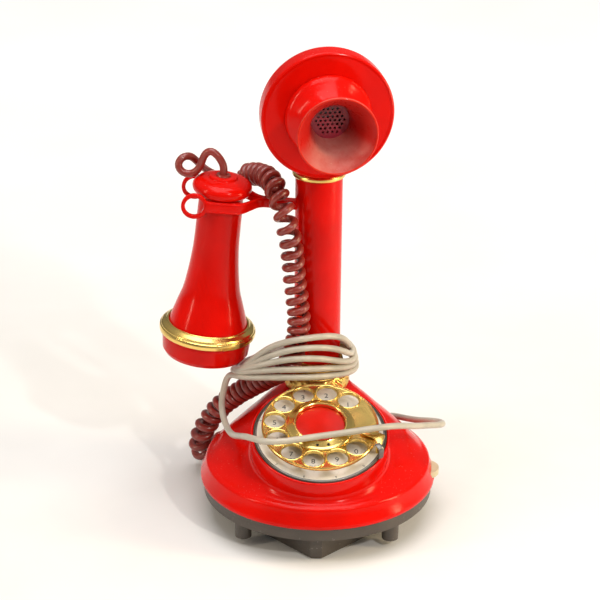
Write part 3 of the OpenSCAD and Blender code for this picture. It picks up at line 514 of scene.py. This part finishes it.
def housing():
    br = np.array([b[0] for b in BELL][::-1]); bz = np.array([b[1] for b in BELL][::-1])
    tilt = math.radians(19)
    c0 = np.array([0, -33.0, 78.8])
    nvec = np.array([0, -math.sin(tilt), math.cos(tilt)]); vvec = np.array([0, math.cos(tilt), math.sin(tilt)])
    zz = bz[::-1]; rr = br[::-1]
    # smooth profile r(z) through the sections
    zs = np.linspace(zz[0], zz[-1], 200)
    prof = np.interp(zs, zz, rr)
    for _ in range(60):
        prof[1:-1] = 0.25 * prof[:-2] + 0.5 * prof[1:-1] + 0.25 * prof[2:]
    def smin(a, b, k):
        h = np.clip(0.5 + 0.5 * (b - a) / k, 0, 1)
        return b * (1 - h) + a * h - k * h * (1 - h)
    def smax(a, b, k):
        return -smin(-a, -b, k)
    def f(P):
        x, y, z = P[..., 0], P[..., 1], P[..., 2]
        r = np.interp(z, zs, prof)
        cy = STEM_Y * (72 - r) / 49.5
        slope = np.interp(z, 0.5 * (zs[1:] + zs[:-1]), np.diff(prof) / np.diff(zs))
        bell = (np.hypot(x, y - cy) - r) / np.sqrt(1 + slope ** 2)
        bell = smax(bell, z - 76.4, 1.5)
        bell = smax(bell, 30 - z, 1.0)
        q = np.hypot(x, y)
        fl_r = np.where(z < 29, 77.6, 77.6 - (z - 29) * (4.7 / 11.4))
        flange = smax((q - fl_r) * 0.92, z - 40.4, 2.2)
        flange = smax(flange, 26.5 - z, 1.0)
        body = smin(flange, bell, 2.5)
        d = P - c0
        zl = d @ nvec; vl = d @ vvec; q2 = np.hypot(x, vl)
        drum = smax(q2 - 44.75, zl + 8.6, 1.0)
        body = smin(body, drum, 6.5)
        # hollow under the shell
        inner = np.maximum(q - (fl_r - 3.6), z - 36.6)
        rb = np.interp(z + 3.6, zs, prof) - 2.6
        cyb = STEM_Y * (72 - rb - 2.6) / 49.5
        binner = np.maximum(np.hypot(x, y - cyb) - rb, 30 - z)
        binner = np.maximum(binner, z - 72.4)
        cav = np.minimum(inner, binner * 0.75)
        body = smax(body, -cav, 0.6)
        well = q2 - 43.7
        well = np.maximum(well, -zl - 15.0)
        body = smax(body, -well, 0.7)
        seat = np.maximum(np.hypot(x, y - STEM_Y) - 22.3, 76.5 - z)
        body = smax(body, -seat, 0.5)
        slot = np.maximum(np.maximum(60 - x, np.abs(y + 4) - 11.4), np.abs(z - 31) - 2.3)
        body = smax(body, -slot, 0.6)
        for ang in (120, 70):
            a = math.radians(ang); ca, sa = math.cos(a), math.sin(a)
            al = x * ca + y * sa; pe = -x * sa + y * ca
            notch = np.maximum(np.hypot(pe, z - 24) - 4.7, 70 - al)
            body = smax(body, -notch, 0.5)
        return body
    h = 1.0
    lo = np.array([-79.2, -79.2, 24.6]); hi = np.array([79.3, 79.3, 88.4])
    nx = np.ceil((hi - lo) / h).astype(int) + 1
    ax = [lo[i] + h * np.arange(nx[i]) for i in range(3)]
    F = np.empty(nx, np.float32)
    for k in range(nx[2]):
        X, Y = np.meshgrid(ax[0], ax[1], indexing="ij")
        F[:, :, k] = f(np.stack([X, Y, np.full_like(X, ax[2][k])], -1))
    V, Q = surface_nets(F, lo, h)
    # even out the points, then settle them onto the surface
    def even(V):
        acc = np.zeros_like(V); cnt = np.zeros(len(V))
        for a, b in ((0, 1), (1, 2), (2, 3), (3, 0)):
            for i, j in ((a, b), (b, a)):
                np.add.at(acc, Q[:, i], V[Q[:, j]]); np.add.at(cnt, Q[:, i], 1)
        return V + 0.5 * (acc / cnt[:, None] - V)
    for turn in range(7):
        if turn in (1, 3): V = even(V)
        e = 0.05
        val = f(V)
        g = np.stack([(f(V + np.eye(3)[i] * e) - f(V - np.eye(3)[i] * e)) / (2 * e) for i in range(3)], 1)
        g2 = np.maximum((g ** 2).sum(1), 0.05)
        step = (val / g2)[:, None] * g
        ln_ = np.linalg.norm(step, axis=1)[:, None]
        step *= np.minimum(1, 0.5 / np.maximum(ln_, 1e-9))
        V = V - step
    return V, Q

def surface_nets(F, lo, h):
    S = F < 0
    nx, ny, nz = F.shape
    acc = np.zeros((nx - 1, ny - 1, nz - 1, 3), np.float32); cnt = np.zeros((nx - 1, ny - 1, nz - 1), np.float32)
    corners = [(i, j, k) for i in (0, 1) for j in (0, 1) for k in (0, 1)]
    def sl(c, A): return A[c[0]:nx - 1 + c[0], c[1]:ny - 1 + c[1], c[2]:nz - 1 + c[2]]
    for a in range(8):
        for b in range(a + 1, 8):
            ca, cb = corners[a], corners[b]
            if sum(abs(ca[i] - cb[i]) for i in range(3)) != 1: continue
            sa, sb = sl(ca, S), sl(cb, S)
            cross = sa != sb
            if not cross.any(): continue
            fa, fb = sl(ca, F)[cross], sl(cb, F)[cross]
            t = fa / (fa - fb)
            p = np.array(ca, np.float32) + t[:, None] * (np.array(cb, np.float32) - np.array(ca, np.float32))
            acc[cross] += p; cnt[cross] += 1
    cell = cnt > 0
    idx = -np.ones(cell.shape, np.int64); idx[cell] = np.arange(cell.sum())
    base = np.argwhere(cell)
    V = lo + h * (base + acc[cell] / cnt[cell][:, None])
    quads = []
    for axis in range(3):
        o = [0, 0, 0]; o[axis] = 1
        A = S[:nx - o[0], :ny - o[1], :nz - o[2]]; Bm = S[o[0]:, o[1]:, o[2]:]
        e = np.argwhere(A != Bm)
        u, w = [i for i in range(3) if i != axis]
        ok = (e[:, u] > 0) & (e[:, w] > 0) & (e[:, u] < F.shape[u] - 1) & (e[:, w] < F.shape[w] - 1)
        e = e[ok]
        inside_first = S[e[:, 0], e[:, 1], e[:, 2]]
        def cellid(du, dw):
            q = e.copy(); q[:, u] += du; q[:, w] += dw
            return idx[q[:, 0], q[:, 1], q[:, 2]]
        c00, c10, c11, c01 = cellid(-1, -1), cellid(0, -1), cellid(0, 0), cellid(-1, 0)
        Qd = np.stack([c00, c10, c11, c01], 1)
        flip = inside_first if axis != 1 else ~inside_first
        Qd[~flip] = Qd[~flip][:, ::-1]
        quads.append(Qd)
    return V, np.vstack(quads)

V, Q = housing()
hou = mesh_object("base_housing", V * MM, Q.tolist(), M["red"], True)
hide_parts("base_shell"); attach(hou, "base")
rimo = lathe("dial_rim_turned", [(43.2, -14.5), (43.2, -8.2), (43.35, -7.5), (43.8, -7.15), (44.35, -7.25), (44.75, -7.8), (44.85, -8.8), (44.85, -24), (43.9, -24), (43.9, -14.5)], DIAL, M["red"], n=192, r=0.15)
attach(rimo, "base")

# ------------------------------------------------------------------ turned parts
def curve2(P, step=0.6):
    """A smooth line of (radius, height) through P."""
    Q = spline([(a, b, 0.0) for a, b in P], step)
    return [(float(q[0]), float(q[1])) for q in Q]

def done(ob, body, slot, *nodes):
    if nodes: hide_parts(*nodes)
    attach(ob, body)
    return ob

done(lathe("stem_outer", [(13.4, 76.5), (15.4, 76.5), (15.4, 229.6), (13.4, 229.6)], STEM, M["red_stem"], n=160, r=0.4),
     "base", "red_paint", "stem_tube")

def collar_wave(t, r, z):
    if r < 16.2: return 0.0
    a = 0.0
    if 77.4 < z < 88:
        k = math.sin(math.pi * (z - 77.4) / 10.6)
        a += 0.75 * k * (abs(math.cos(t * 12 + 0.9 * math.sin(z * 0.9))) - 0.6) + 0.22 * k * math.cos(t * 36 + z * 1.7)
    if 93.0 < z < 96.6:
        a += 0.16 * math.sin(math.pi * (z - 93.0) / 3.6) * math.cos(t * 44)
    return a
COLLAR = curve2([(20.5, 76.5), (21.3, 79), (21.6, 83), (20.9, 86)], 0.5) + [(20.3, 86.6), (20.6, 87.2), (20.2, 87.9)] + \
    curve2([(19.7, 88.1), (18.6, 90), (17.5, 92.4)], 0.5) + [(17.5, 93.0), (17.1, 93.5), (17.3, 94.6), (17.4, 95.8), (16.9, 96.6), (16.7, 97.5)]
done(lathe("collar_turned", [(15.5, 76.5)] + COLLAR + [(15.5, 97.5)], STEM, M["gold_dull"], n=384, r=0.12, seg=2, wave=collar_wave),
     "base", "gold", "stem_collar")
done(lathe("stem_ring_turned", [(15.5, 226.8), (17.0, 226.8), (17.4, 227.5), (17.4, 228.9), (16.9, 229.6), (15.5, 229.6)], STEM, M["gold"], n=128, r=0.25),
     "base", "gold", "stem_top_ring")

# receiver
SH = curve2([(14.3, 3.6), (14.6, -9.5), (14.85, -29.6), (15.4, -39), (16.8, -52), (18.95, -65), (21.7, -74), (24, -81.5), (25.7, -87.3)], 1.2)
done(lathe("receiver_barrel", SH + [(26, -89.2), (26, -96), (24, -96), (23.8, -86.5), (22, -81), (19.8, -73.5), (16.9, -64.5), (14.7, -51.5), (13.4, -39), (12.8, -29.6), (12.6, -9.5), (12.6, 3.6)],
           RECV, M["red"], n=144, r=0.35), "receiver", "red_gloss", "receiver_shell")
BUN = curve2([(16.6, 3.8), (18.3, 5.0), (19.25, 7.0), (19.3, 8.8), (18.4, 10.8), (16, 12.7), (12.6, 13.9), (10.2, 14.3)], 0.5)
done(lathe("receiver_bun", [(3.9, -4), (12.5, -4), (12.5, 3.8)] + BUN + [(9.6, 14.25), (9.35, 14.9), (8.9, 15.6), (8.0, 15.85), (5.6, 15.75), (5.2, 15.55), (3.9, 15.5)],
           RECV, M["red"], n=128, r=0.3), "receiver", "red_gloss", "receiver_cap")
done(lathe("receiver_band", [(26.1, -95.55), (31.3, -95.55), (31.75, -95.0), (31.95, -93), (31.7, -91.6), (31.0, -91.1), (31.0, -90.5), (30.2, -89.6), (27.9, -88.2), (27.2, -87.4), (26.15, -87.4)],
           RECV, M["gold"], n=160, r=0.3), "receiver", "gold", "receiver_ring")

# transmitter head
HC = curve2([(20, 8.6), (27.5, 8.75), (34, 9.8), (38.6, 11.6), (41.2, 14.2), (42.2, 17)], 0.7)
cup = lathe("head_shell", [(0, 8.6)] + HC + [(42.28, 18), (42.28, 25.4), (42.0, 26.1), (40, 26.1), (40, 17.5), (38, 14.8), (33, 12.2), (26, 10.6), (0, 10.6)],
            HEADAX, M["red"], n=160, r=0.2, closed=False)
def box_mesh(x0, x1, y0, y1, z0, z1):
    v = [(x, y, z) for x in (x0, x1) for y in (y0, y1) for z in (z0, z1)]
    f = [(0, 1, 3, 2), (4, 6, 7, 5), (0, 4, 5, 1), (2, 3, 7, 6), (0, 2, 6, 4), (1, 5, 7, 3)]
    return v, f
def join(obs, name):
    dst = obs[0]
    bm = bmesh.new()
    for o in obs:
        bm.from_mesh(o.data)
    bm.to_mesh(dst.data); bm.free()
    for o in obs[1:]:
        bpy.data.objects.remove(o, do_unlink=True)
    dst.name = name
    return dst
def soft_edges(ob, w, seg=2):
    bm = bmesh.new(); bm.from_mesh(ob.data)
    bmesh.ops.bevel(bm, geom=[e for e in bm.edges if len(e.link_faces) == 2 and e.calc_face_angle(0) > 0.5], offset=w * MM, segments=seg, profile=0.5, affect="EDGES")
    bm.to_mesh(ob.data); bm.free()
    ob.data.polygons.foreach_set("use_smooth", [True] * len(ob.data.polygons))
    ob.data.set_sharp_from_angle(angle=math.radians(40))
    return ob
def prism(name, poly, z0, z1, mat, m, w=0.3, seg=2):
    n = len(poly)
    v = [(x * MM, y * MM, z0 * MM) for x, y in poly] + [(x * MM, y * MM, z1 * MM) for x, y in poly]
    f = [tuple(range(n - 1, -1, -1)), tuple(range(n, 2 * n))] + [(i, (i + 1) % n, n + (i + 1) % n, n + i) for i in range(n)]
    ob = mesh_object(name, v, f, mat)
    return place(soft_edges(ob, w, seg), m)
def lug(x0, name):
    pts = [(-9.2, -5)] + [(5 * math.sin(a), -5 * math.cos(a)) for a in np.linspace(0, math.pi, 17)] + [(-9.2, 5)]
    ob = prism(name, pts, x0, x0 + 3.4, M["red"], Matrix.Identity(4), 0.35)
    # prism axis becomes X; its x runs along head Y, its y along head Z
    ob.data.transform(Matrix(((0, 0, 1, 0), (1, 0, 0, 0), (0, 1, 0, 0), (0, 0, 0, 1))))
    return place(ob, HEAD)
cup = join([cup, lug(3.6, "lug_a"), lug(-7, "lug_b")], "head_shell")
done(cup, "head", "red_gloss", "head_cup")
done(lathe("head_front", [(24.2, 26.2), (42.5, 26.2), (42.5, 27.4), (42.1, 28.3), (41.3, 28.75), (40.6, 28.5), (39.8, 28.3), (24.2, 28.45)], HEADAX, M["red"], n=160, r=0.2),
     "head", "red_gloss", "head_face")
OUT = curve2([(27.8, 28.65), (27.5, 30.0), (26.3, 31.9), (23.9, 34.2), (20.4, 37.8), (17.9, 42), (17.05, 46.5), (17.9, 51.3), (20.4, 56), (23.6, 59.6), (25.2, 61.1)], 0.6)
INN = curve2([(24.3, 61.9), (22.2, 59.8), (19.3, 56), (16.4, 51), (14.4, 45.5), (13.1, 40), (12.3, 35.6)], 0.6)
done(lathe("horn_outer", [(24.1, 28.5)] + OUT + [(25.55, 61.5), (25.3, 62.0), (24.8, 62.1)] + INN[:1], HEADAX, M["red"], n=160, r=0.0, closed=False),
     "head", "red_gloss", "mouthpiece_horn")
# a rounded lip ring on the horn's mouth, in the red that carries the painted highlight
LIP = [(24.85 + 0.8 * math.cos(math.radians(a)), 61.35 + 0.8 * math.sin(math.radians(a))) for a in range(0, 360, 30)]
done(lathe("horn_lip", LIP + LIP[:1], HEADAX, M["red_lip"], n=160, r=0.0, closed=False),
     "head", "red_gloss", "mouthpiece_horn")
done(lathe("horn_inner", INN + [(12.2, 35.2), (12.2, 33.4), (10.5, 33.4), (10.5, 21), (24.1, 21), (24.1, 28.5)], HEADAX, M["red_in"], n=160, r=0.0, closed=False),
     "head", "red_gloss", "mouthpiece_horn")

# hook fork: two arms with panelled faces that end in rings
def sweep_bar(name, path, halfw, hh, mat):
    """A rounded bar along a 2-D path (x, y) in the hook frame; halfw is across, hh the half height."""
    P = np.array(path, float)
    T = np.gradient(P, axis=0); T /= np.linalg.norm(T, axis=1)[:, None]
    Nn = np.stack([-T[:, 1], T[:, 0]], 1)
    sec = []
    c = 0.7
    for sx, sy in ((1, 1), (-1, 1), (-1, -1), (1, -1)):
        a0 = {(1, 1): 0, (-1, 1): 90, (-1, -1): 180, (1, -1): 270}[(sx, sy)]
        for k in range(4):
            a = math.radians(a0 + 30 * k)
            sec.append((sx, sy, math.cos(a), math.sin(a)))
    V, F = [], []
    n = len(sec)
    for i in range(len(P)):
        for sx, sy, ca, sa in sec:
            w = sx * (halfw[i] - c) + c * ca; z = sy * (hh[i] - c) + c * sa
            V.append((P[i][0] + Nn[i][0] * w, P[i][1] + Nn[i][1] * w, z))
    for i in range(len(P) - 1):
        for j in range(n):
            F.append((i * n + j, (i + 1) * n + j, (i + 1) * n + (j + 1) % n, i * n + (j + 1) % n))
    F.append(tuple(range(n))); F.append(tuple((len(P) - 1) * n + j for j in range(n - 1, -1, -1)))
    ob = mesh_object(name, np.array(V) * MM, F, mat, True, 50)
    return ob
arms = []
for sgn in (1, -1):
    k = spline([(-74, 17 * sgn, 0), (-62, 17 * sgn, 0), (-53.5, 16.8 * sgn, 0), (-49.6, 14.6 * sgn, 0), (-44.5, 9 * sgn, 0), (-40.5, 4.4 * sgn, 0), (-36.5, 2.0 * sgn, 0), (-30, 1.6 * sgn, 0), (-14.5, 1.6 * sgn, 0)], 0.9)
    u = k[:, 0]
    hh = np.interp(u, [-74, -53, -46, -40, -34, -14], [3.75, 3.75, 3.2, 2.95, 2.9, 3.0])
    hw = np.interp(u, [-74, -53, -40, -34, -14], [1.5, 1.5, 1.5, 1.8, 1.9])
    arms.append(sweep_bar("arm", k[:, :2], hw, hh, M["red"]))
    # raised borders of the outer face, above and below the panel
    for zz in (2.75, -2.75):
        sel = (u > -71.5) & (u < -51)
        q = k[sel]
        t = np.gradient(q[:, :2], axis=0); t /= np.linalg.norm(t, axis=1)[:, None]
        nn = np.stack([-t[:, 1], t[:, 0]], 1) * sgn
        arms.append(tube_mesh("rail", np.stack([q[:, 0] + nn[:, 0] * 1.42, q[:, 1] + nn[:, 1] * 1.42, np.full(len(q), zz)], 1), 0.42, M["red"], 8))
    ring = lathe("ring", [(6.0, -1.5), (8.5, -1.5), (8.5, 1.5), (6.0, 1.5)], Matrix.Identity(4), M["red"], n=64, r=0.6)
    ring.data.transform(Matrix.Translation(Vector((-80.8 * MM, 17 * sgn * MM, 0))) @ Matrix.Rotation(math.radians(90), 4, "X"))
    arms.append(ring)
fork = join(arms, "hook_fork")
place(fork, HOOK)
done(fork, "hook", "red_paint", "hook_lever")

# ------------------------------------------------------------------ dial
hub = lathe("dial_centre_ring", [(15.9, 0.05), (22.2, 0.05), (22.4, 0.6), (22.0, 1.25), (21.0, 1.6)] + curve2([(20.6, 1.75), (19, 2.7), (17.7, 3.5)], 0.5) + [(17.2, 3.95), (16.6, 4.0), (16.0, 3.5), (15.9, 2.5)],
            DIAL, M["gold"], n=128, r=0.2)
done(hub, "dial", "gold", "dial_hub")
done(lathe("centre_window", [(15.8, 0.05), (15.8, 1.0), (15.4, 1.25), (10, 1.55), (5, 1.7), (0, 1.75)], DIAL, M["card"], n=96, r=0.2, closed=False), "dial", "card", "centre_card")
# two near-black studs on the centre ring; their black is painted shade standing for the inside of two holes
pins = []
for x, y in ((-2.4, -19.1), (4.6, -18.7)):
    pins.append(lathe("pin", [(0, 3.25), (0.75, 3.25), (0.95, 2.9), (0.95, 2.0), (0, 2.0)], DIAL @ Matrix.Translation(Vector((x * MM, y * MM, -0.35 * MM))), M["dark"], n=20, r=0.1, closed=False))
done(join(pins, "centre_ring_pins"), "dial", "steel")
lips = []
for k in range(10):
    a = math.radians(50 + 30 * k)
    m = DIAL @ Matrix.Translation(Vector((29.7 * math.cos(a) * MM, 29.7 * math.sin(a) * MM, 0)))
    lips.append(lathe("lip", [(6.72, -1.9), (6.72, 0.05), (6.9, 0.42), (7.25, 0.55), (7.6, 0.42), (7.9, 0.0), (7.7, -0.3)], m, M["gold"], n=48, r=0.05, closed=False))
lips.append(lathe("rim", [(36.2, 0.0), (36.9, 0.5), (37.5, 0.62), (37.95, 0.2), (38.0, -0.5), (38.0, -1.6), (37.6, -2.0), (36.6, -2.02)], DIAL, M["gold"], n=192, r=0.1, closed=False))
done(join(lips, "finger_wheel_lips"), "dial", "gold")
# thin dark ring at the number plate's edge: a painted shadow of the gap between the plate and the dial rim
done(lathe("plate_gap_painted_shadow", [(41.0, -7.0), (41.0, -6.9), (41.5, -6.86), (41.9, -7.0)], DIAL, M["dark_steel"], n=160, r=0.0, closed=False), "base", "black")

FONT_CACHE = {}
def glyph(ch, size, at, ang, m, name):
    cu = bpy.data.curves.new("g", "FONT")
    cu.body = ch; cu.size = size * MM; cu.align_x = "CENTER"; cu.align_y = "CENTER"; cu.extrude = 0.03 * MM; cu.resolution_u = 4
    tmp = link(bpy.data.objects.new("g", cu))
    dg = bpy.context.evaluated_depsgraph_get()
    me = bpy.data.meshes.new_from_object(tmp.evaluated_get(dg))
    bpy.data.objects.remove(tmp, do_unlink=True)
    ob = link(bpy.data.objects.new(name, me))
    me.materials.clear(); me.materials.append(M["ink"])
    me.transform(m @ Matrix.Translation(Vector((at[0] * MM, at[1] * MM, -6.96 * MM))) @ Matrix.Rotation(ang, 4, "Z"))
    return ob
GROUPS = ["", "ABC", "DEF", "GHI", "JKL", "MNO", "PRS", "TUV", "WXY", ""]
marks = []
for k in range(10):
    a = math.radians(50 + 30 * k)
    cx, cy = 29.7 * math.cos(a), 29.7 * math.sin(a)
    marks.append(glyph(str((k + 1) % 10), 5.6, (cx, cy + 4.4 if GROUPS[k] else cy + 2.6), 0, DIAL, "d"))
    if GROUPS[k]:
        marks.append(glyph(GROUPS[k], 3.6, (cx, cy - 0.6), 0, DIAL, "d"))
    marks.append(glyph(str((k + 1) % 10), 2.6, (39.6 * math.cos(a - 0.12), 39.6 * math.sin(a - 0.12)), a - 0.12 - math.pi / 2 if math.sin(a) > 0 else a - 0.12 + math.pi / 2, DIAL, "d"))
done(join(marks, "dial_numbers"), "base", "black")

# finger stop: blade with soft edges and a dark curled foot that hooks the rim
blade = prism("finger_stop_blade", [(25.2, -6.4), (26.0, -9.1), (30.2, -11.0), (34.2, -13.2), (34.8, -16.5), (34.9, -20.4), (38.2, -20.4), (39.6, -16.5), (41.2, -10.6), (38.3, -8.4), (31.5, -7.2)], 1.0, 2.2, M["gold"], DIAL, 0.35)
post = lathe("post", [(0, -7), (1.3, -7), (1.3, 1.4), (0, 1.4)], DIAL @ Matrix.Translation(Vector((36.3 * MM, -17 * MM, 0))), M["gold"], n=32, r=0.1, closed=False)
done(join([blade, post], "finger_stop_blade"), "base", "gold", "finger_stop")
def strip(name, P, across, w, t, mat, m):
    P = np.array(P, float); T = np.gradient(P, axis=0); T /= np.linalg.norm(T, axis=1)[:, None]
    A = np.array(across, float); A /= np.linalg.norm(A)
    V, F = [], []
    for i in range(len(P)):
        b = np.cross(T[i], A); b /= np.linalg.norm(b)
        for sa, sb in ((1, 1), (-1, 1), (-1, -1), (1, -1)):
            V.append(P[i] + A * sa * w / 2 + b * sb * t / 2)
    for i in range(len(P) - 1):
        for j in range(4):
            F.append((i * 4 + j, (i + 1) * 4 + j, (i + 1) * 4 + (j + 1) % 4, i * 4 + (j + 1) % 4))
    F.append((0, 1, 2, 3)); k = (len(P) - 1) * 4; F.append((k + 3, k + 2, k + 1, k))
    ob = mesh_object(name, np.array(V) * MM, F, mat)
    return place(soft_edges(ob, 0.25, 2), m)
curl = strip("finger_stop_curl", spline([(35.6, -18.6, 2.5), (36.9, -20.8, 2.55), (37.9, -22.2, 1.9), (38.4, -22.9, 0.2), (38.35, -22.8, -2.6), (38.2, -22.6, -6.6)], 0.6), (0.86, 0.51, 0), 3.6, 0.9, M["dark_steel"], DIAL)
done(curl, "base", "steel")

# ------------------------------------------------------------------ stage and light
def stage():
    floor_mat, nt, b = new_mat("pale_floor_painted_glow")
    co = objco(nt)
    n1 = noise(nt, 6, 4, 0.5, co); n2 = noise(nt, 220, 4, 0.6, co)
    pale = mix(nt, ramp(nt, n1.outputs["Fac"], 0.35, 0.7, 0, 1), (0.80, 0.785, 0.765), (0.86, 0.85, 0.835))
    sep = nt.nodes.new("ShaderNodeSeparateXYZ"); nt.links.new(co, sep.inputs[0])
    near = ramp(nt, sep.outputs["Y"], -0.9, -0.28, 0.0, 1.0)
    nt.links.new(mix(nt, near, (0.36, 0.35, 0.335), pale), b.inputs["Base Color"])
    b.inputs["Roughness"].default_value = 0.6
    # the floor glows more with distance behind the phone: painted light that brightens the far floor
    b.inputs["Emission Color"].default_value = (1.0, 0.99, 0.97, 1)
    nt.links.new(ramp(nt, sep.outputs["Y"], 0.12, 0.9, 0.0, 0.45), b.inputs["Emission Strength"])
    bump(nt, b, n2.outputs["Fac"], 0.05, 0.0005)
    xs = np.linspace(-5, 5, 11); ys = np.linspace(-4, 8, 13)
    verts = [(x, y, -0.00005) for y in ys for x in xs]
    faces = [(j * 11 + i, j * 11 + i + 1, (j + 1) * 11 + i + 1, (j + 1) * 11 + i) for j in range(12) for i in range(10)]
    fl = mesh_object("floor_sheet", verts, faces, floor_mat, True)
    w = bpy.data.worlds.new("studio"); bpy.context.scene.world = w
    w.use_nodes = True
    nt = w.node_tree
    bg = nt.nodes["Background"]
    tc = nt.nodes.new("ShaderNodeTexCoord"); sp = nt.nodes.new("ShaderNodeSeparateXYZ")
    nt.links.new(tc.outputs["Generated"], sp.inputs[0])
    up = ramp(nt, sp.outputs["Z"], 0.0, 0.9, 0.0, 1.0)
    nt.links.new(mix(nt, up, (0.34, 0.325, 0.30), (0.95, 0.94, 0.92)), bg.inputs[0])
    bg.inputs[1].default_value = 0.44
    def area(name, loc, target, size, energy, col=(1, 1, 1), sy=None):
        d = bpy.data.lights.new(name, "AREA"); d.energy = energy; d.color = col
        d.shape = "RECTANGLE"; d.size = size; d.size_y = sy or size
        o = link(bpy.data.objects.new(name, d))
        o.location = loc
        o.rotation_euler = (Vector(target) - Vector(loc)).to_track_quat("-Z", "Y").to_euler()
        return o
    area("key", (0.75, -1.15, 1.15), (0, 0, 0.14), 0.07, 8.0, (1.0, 0.95, 0.88))
    area("strip_right", (0.95, -0.25, 0.45), (0, 0.03, 0.16), 0.16, 8.0, (1.0, 0.80, 0.50), 0.9)
    area("strip_left", (-0.95, -0.35, 0.6), (0, 0, 0.15), 0.10, 3.6, (1.0, 0.86, 0.66), 0.7)
    area("top", (0.0, -0.1, 1.5), (0, 0, 0.1), 1.1, 16.0)

stage()

sc = bpy.context.scene
sc.view_settings.view_transform = "Standard"
sc.view_settings.look = "None"
sc.view_settings.exposure = 0.0
